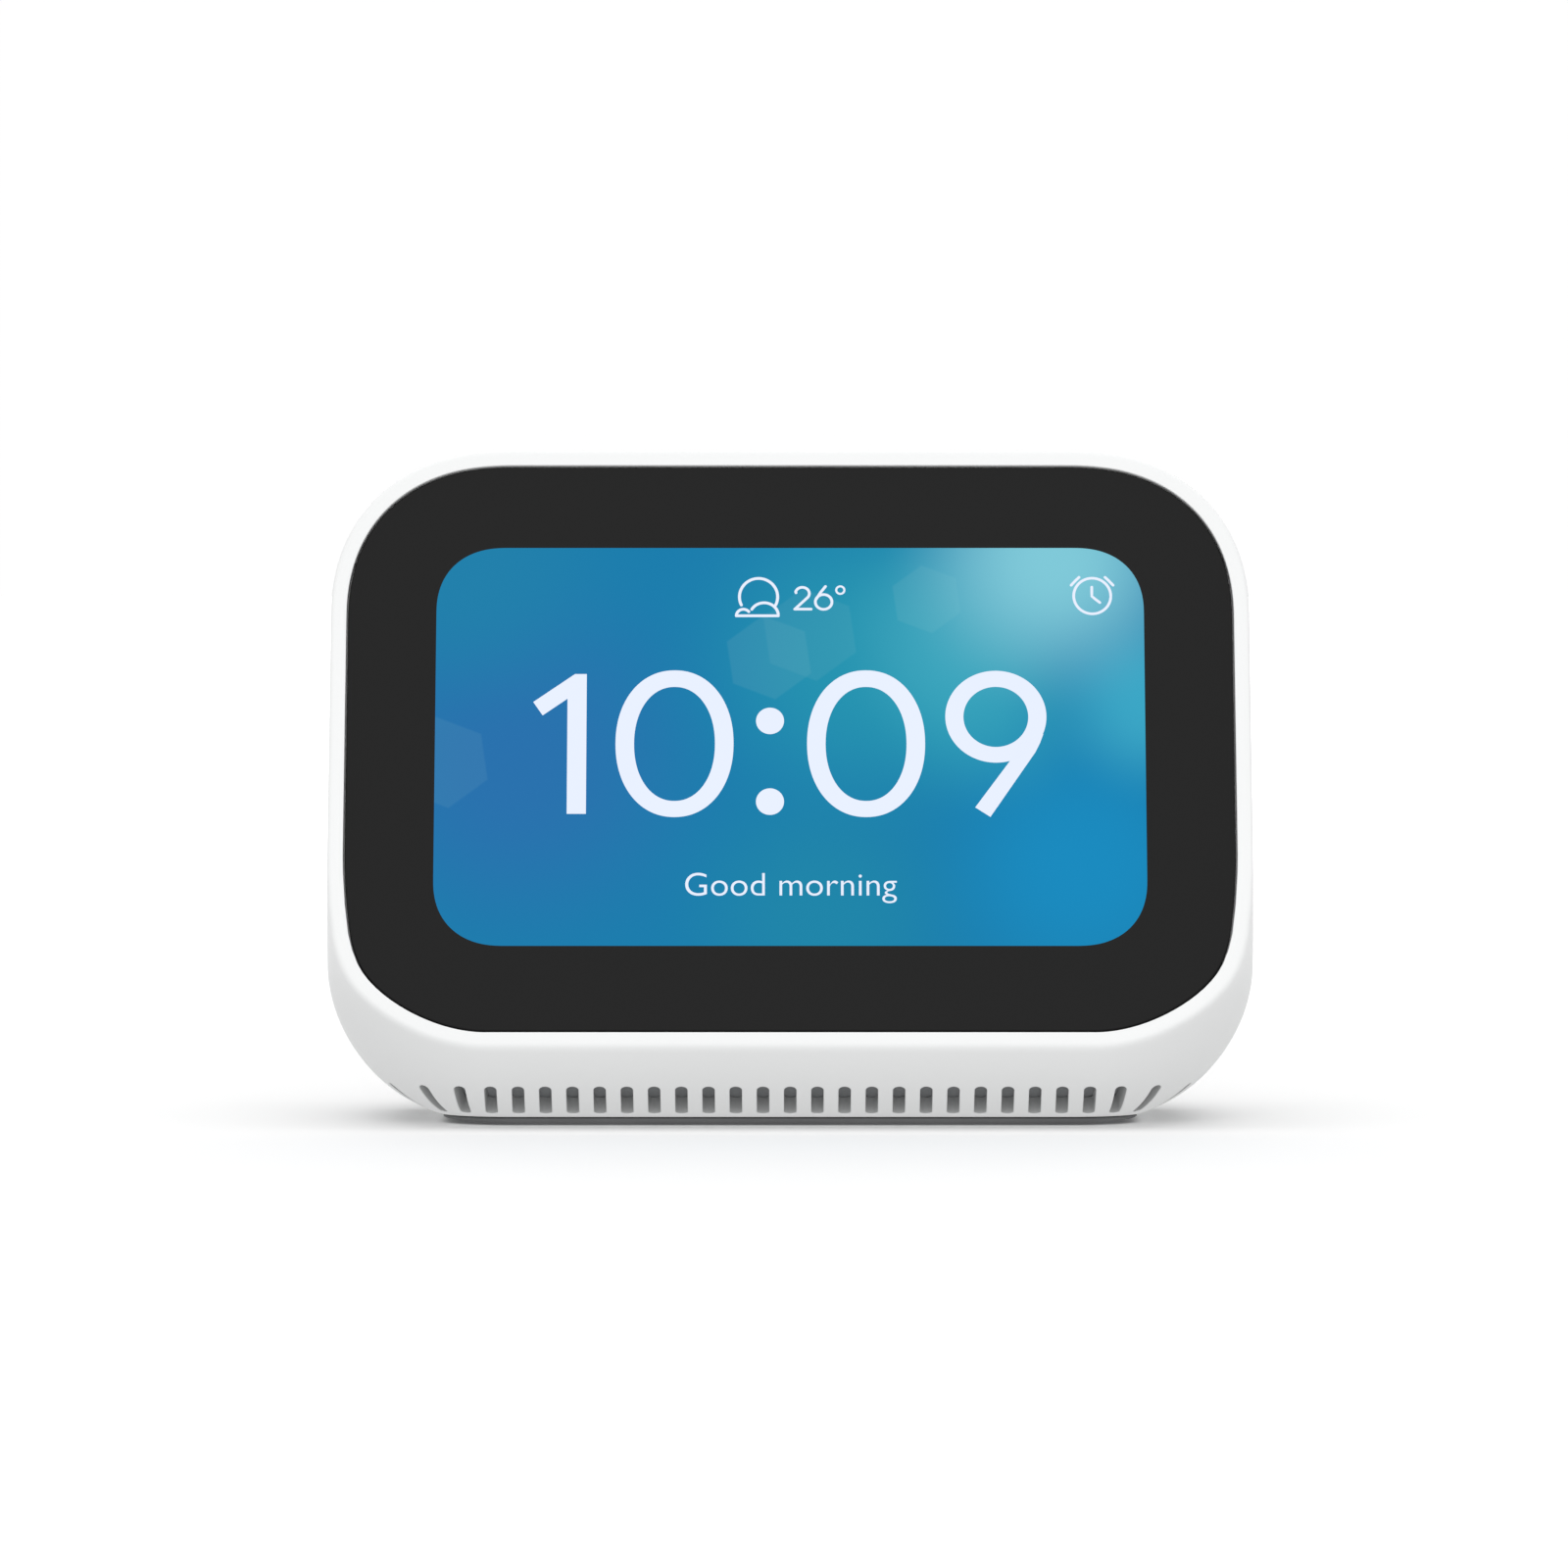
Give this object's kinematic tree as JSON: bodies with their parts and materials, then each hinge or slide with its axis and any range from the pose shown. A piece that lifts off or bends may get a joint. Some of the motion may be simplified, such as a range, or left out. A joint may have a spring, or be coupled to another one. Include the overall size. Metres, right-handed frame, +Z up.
{
  "type": "smart display",
  "caption": "Small desk smart display with a sloped glass screen, bowl-shaped white housing, base sound slots, top volume keys, rear microphone switch and power inlet.",
  "frame": {"origin": "middle of the bounding box at the underside of the rubber foot", "axes": "+X to the right seen from the front, front faces -Y, +Z up"},
  "size_m": [0.113, 0.068, 0.0824],
  "materials": {
    "white_housing_plastic": "fine matte moulded",
    "white_key_plastic": "fine matte moulded",
    "grey_slider_plastic": "matte moulded",
    "dark_foot_rubber": "matte",
    "printed_cover_glass": "black printed border, clear centre",
    "black_foam_tape": "foam",
    "lcd_polariser": "satin film, lit from behind",
    "white_light_guide": "satin",
    "stamped_steel": "satin",
    "screw_steel": "zinc plated",
    "black_box_plastic": "matte moulded",
    "gasket_foam": "foam",
    "painted_basket_steel": "black paint",
    "ferrite_magnet": "ground",
    "copper_winding": "enamelled wire",
    "cone_paper": "pressed pulp",
    "cap_plastic": "satin",
    "surround_rubber": "matte",
    "dust_cloth": "fine woven",
    "green_board": "solder mask",
    "tinned_shield": "tinned",
    "spreader_aluminium": "plain",
    "amber_film": "polyimide film",
    "black_lead": "cable jacket",
    "red_lead": "cable jacket",
    "black_jack_plastic": "moulded",
    "nickel_pin": "nickel plated",
    "switch_steel": "plain",
    "black_stem_plastic": "moulded",
    "gold_can": "plated",
    "boot_silicone": "matte"
  },
  "bodies": {
    "housing": {"main_housing": "white_housing_plastic", "rear_cover": "white_housing_plastic", "base_plate": "white_housing_plastic", "rubber_foot": "dark_foot_rubber", "cover_glass": "printed_cover_glass", "glass_adhesive": "black_foam_tape", "lcd_panel": "lcd_polariser", "backlight": "white_light_guide", "display_bracket": "stamped_steel", "display_flex": "amber_film", "touch_flex": "amber_film", "key_flex": "amber_film", "speaker_box": "black_box_plastic", "speaker_gasket": "gasket_foam", "speaker_basket": "painted_basket_steel", "speaker_top_plate": "stamped_steel", "speaker_magnet": "ferrite_magnet", "speaker_yoke": "stamped_steel", "speaker_surround": "surround_rubber", "speaker_cable": "red_lead", "slot_cloth": "dust_cloth", "main_board": "green_board", "shield_can": "tinned_shield", "heat_spreader": "spreader_aluminium", "wifi_antenna": "amber_film", "antenna_cable": "black_lead", "dc_jack": "black_jack_plastic", "dc_jack_pin": "nickel_pin", "mute_switch": "switch_steel", "volume_up_switch": "switch_steel", "volume_down_switch": "switch_steel", "key_board": "green_board", "left_microphone": "gold_can", "right_microphone": "gold_can", "left_microphone_boot": "boot_silicone", "right_microphone_boot": "boot_silicone", "base_screw_1": "screw_steel", "base_screw_2": "screw_steel", "base_screw_3": "screw_steel", "base_screw_4": "screw_steel", "display_screw_1": "screw_steel", "display_screw_2": "screw_steel", "display_screw_3": "screw_steel", "display_screw_4": "screw_steel", "board_screw_1": "screw_steel", "board_screw_2": "screw_steel", "board_screw_3": "screw_steel", "board_screw_4": "screw_steel", "key_board_screw_1": "screw_steel", "key_board_screw_2": "screw_steel"},
    "volume_up_button": {"volume_up_key": "white_key_plastic", "volume_up_stem": "black_stem_plastic"},
    "volume_down_button": {"volume_down_key": "white_key_plastic", "volume_down_stem": "black_stem_plastic"},
    "mute_knob": {"mic_mute_slider": "grey_slider_plastic", "mute_switch_lever": "black_stem_plastic"},
    "speaker_driver": {"speaker_cone": "cone_paper", "speaker_dust_cap": "cap_plastic", "speaker_voice_coil": "copper_winding"}
  },
  "joints": [
    {"name": "volume_up_press", "type": "slide", "parent": "housing", "child": "volume_up_button", "axis": [0, 0, -1], "range_m": [0, 0.0005], "stiffness_N_per_m": 600},
    {"name": "volume_down_press", "type": "slide", "parent": "housing", "child": "volume_down_button", "axis": [0, 0, -1], "range_m": [0, 0.0005], "stiffness_N_per_m": 600},
    {"name": "mic_mute_slide", "type": "slide", "parent": "housing", "child": "mute_knob", "axis": [1, 0, 0], "range_m": [0, 0.002]},
    {"name": "speaker_cone_travel", "type": "slide", "parent": "housing", "child": "speaker_driver", "axis": [0, 0, 1], "range_m": [-0.0008, 0.0008], "stiffness_N_per_m": 800, "deforming": ["speaker_surround"]}
  ]
}
